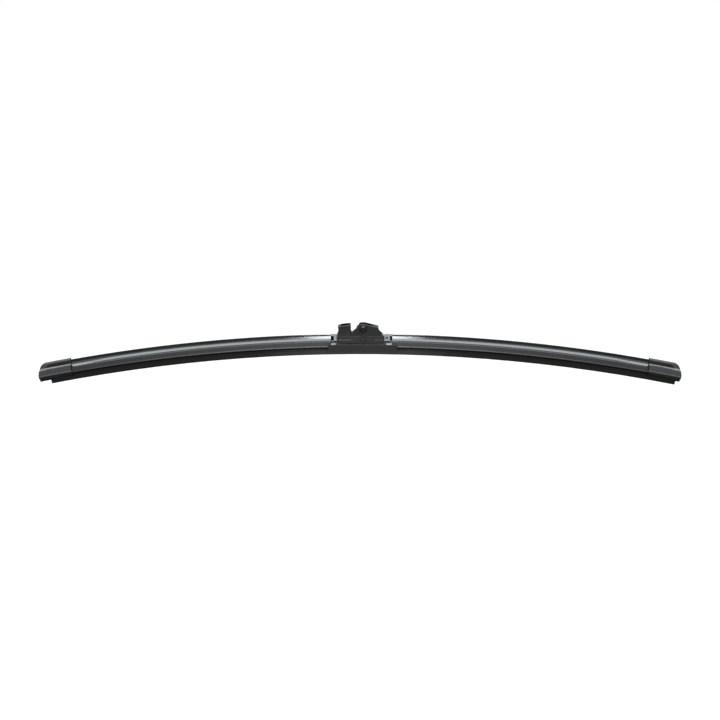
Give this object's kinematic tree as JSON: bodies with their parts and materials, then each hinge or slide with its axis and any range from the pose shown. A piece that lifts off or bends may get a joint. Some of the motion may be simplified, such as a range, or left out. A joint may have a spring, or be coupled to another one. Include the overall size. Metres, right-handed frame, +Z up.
{
  "type": "wiper blade",
  "caption": "Beam-type windscreen wiper blade with wind deflectors, bent spring rails, a rubber wiping lip, end caps and a connector that rocks on a rivet, with a bore for a side-pin arm.",
  "frame": {"origin": "middle of the connector's arm-pin bore", "axes": "+X along the blade to its right end as seen from the front, +Y along the arm pin to the rear, +Z up from the wiping lip"},
  "size_m": [0.6002, 0.018, 0.0583],
  "materials": {
    "rubber": "matte black extruded rubber with a soft graphite bloom",
    "spring_steel": "dark oiled spring steel strip",
    "spoiler_plastic": "satin-gloss black extruded elastomer",
    "cap_plastic": "satin black moulded plastic",
    "bracket_metal": "plain zinc-grey stamped sheet",
    "base_plastic": "matte dark grey moulded plastic",
    "rivet_steel": "blackened turned steel, a little burnished at its middle",
    "adapter_plastic": "satin black moulded plastic"
  },
  "bodies": {
    "connector": {"adapter": "adapter_plastic"},
    "blade": {"wiping_rubber": "rubber", "spring_rail_front": "spring_steel", "spring_rail_rear": "spring_steel", "spoiler_left": "spoiler_plastic", "spoiler_right": "spoiler_plastic", "end_cap_left": "cap_plastic", "end_cap_right": "cap_plastic", "bracket": "bracket_metal", "base_cover": "base_plastic", "pivot_pin": "rivet_steel"}
  },
  "joints": [
    {"name": "blade_rock", "type": "hinge", "parent": "connector", "child": "blade", "pos_m": [0, 0, -0.0098], "axis": [0, 1, 0], "range_deg": [-10, 10]}
  ]
}
